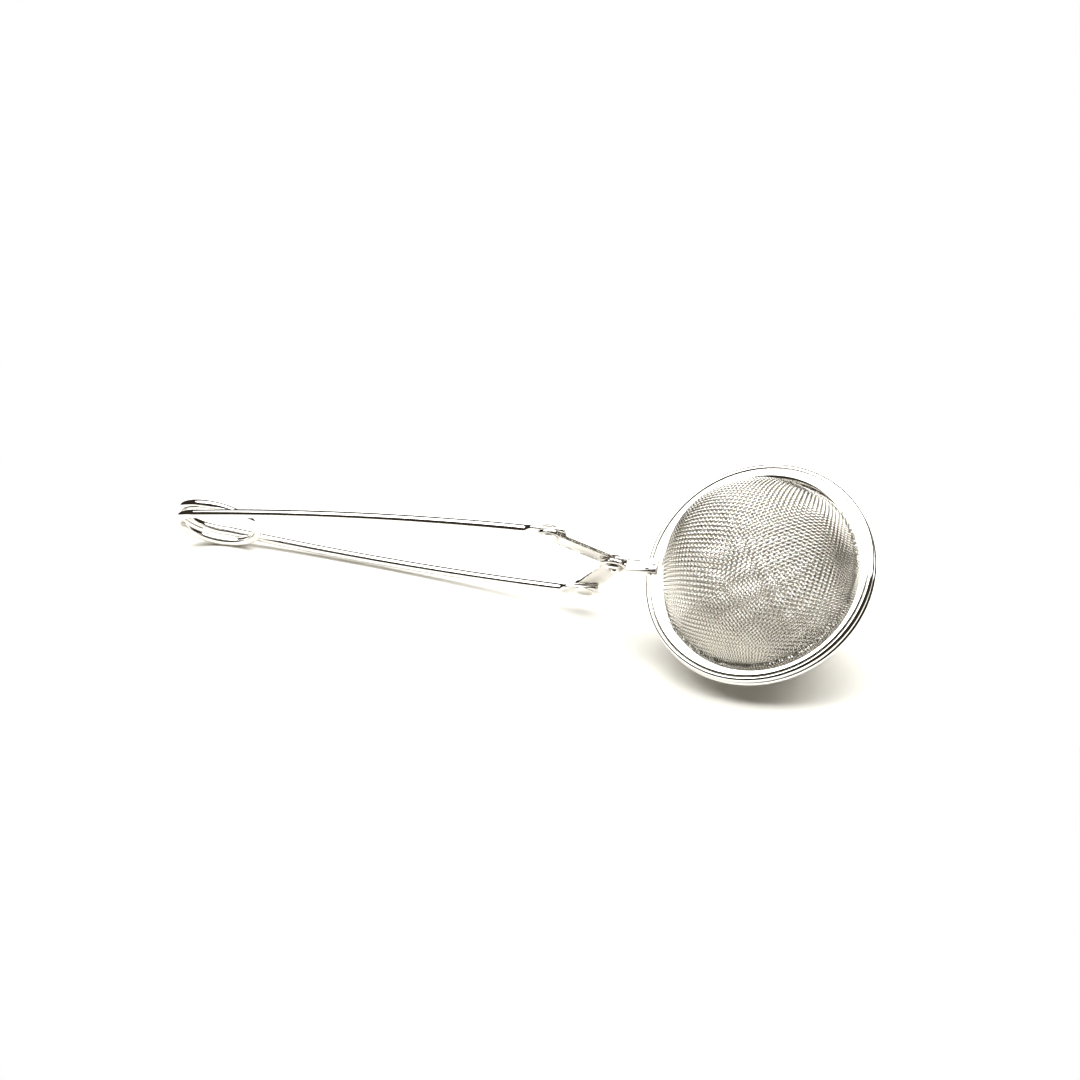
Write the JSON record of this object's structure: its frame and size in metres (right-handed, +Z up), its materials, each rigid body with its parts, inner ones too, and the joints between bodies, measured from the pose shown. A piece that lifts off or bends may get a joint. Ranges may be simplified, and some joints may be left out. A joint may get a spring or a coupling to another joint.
{
  "type": "tea strainer",
  "caption": "Tea strainer: a woven mesh ball in two hinged halves, opened by squeezing a sprung wire handle.",
  "frame": {"origin": "middle of the bounding box in X and Y, on the table that the strainer lies on", "axes": "+X from the handle's coil to the mesh ball, +Z up from the table, +Y away from the side that the ball's rims lean to"},
  "size_m": [0.1656, 0.0424, 0.0426],
  "materials": {
    "wire_steel": "polished stainless steel spring wire",
    "rivet_steel": "polished stainless steel rivets",
    "link_steel": "polished stamped stainless steel",
    "rim_steel": "polished rolled stainless steel",
    "mesh_steel": "fine woven stainless steel wire cloth"
  },
  "bodies": {
    "upper_handle": {"upper_arm": "wire_steel", "spring_coil": "wire_steel", "upper_arm_rivet": "rivet_steel"},
    "lower_handle": {"lower_arm": "wire_steel", "lower_arm_rivet": "rivet_steel"},
    "upper_half": {"upper_link": "link_steel", "upper_rim": "rim_steel", "upper_mesh_cup": "mesh_steel", "centre_rivet": "rivet_steel"},
    "lower_half": {"lower_link": "link_steel", "lower_rim": "rim_steel", "lower_mesh_cup": "mesh_steel"}
  },
  "joints": [
    {"name": "coil_flex", "type": "hinge", "parent": "upper_handle", "child": "lower_handle", "pos_m": [-0.07282, 0.00264, 0.00822], "axis": [0.0767, -0.7547, -0.6516], "range_deg": [0, 11], "stiffness_Nm_per_rad": 0.4, "springref_deg": -8.59, "deforming": ["spring_coil"]},
    {"name": "upper_link_pivot", "type": "hinge", "parent": "upper_handle", "child": "upper_half", "pos_m": [0.01213, -0.0084, 0.02564], "axis": [0.0767, -0.7547, -0.6516], "range_deg": [0, 41]},
    {"name": "ball_opening", "type": "hinge", "parent": "upper_half", "child": "lower_half", "pos_m": [0.02418, 0, 0.01733], "axis": [-0.0767, 0.7547, 0.6516], "range_deg": [0, 70]}
  ],
  "couplings": [
    {"joint": "coil_flex", "follows": "ball_opening", "ratio": 0.157},
    {"joint": "upper_link_pivot", "follows": "ball_opening", "ratio": 0.5785}
  ]
}
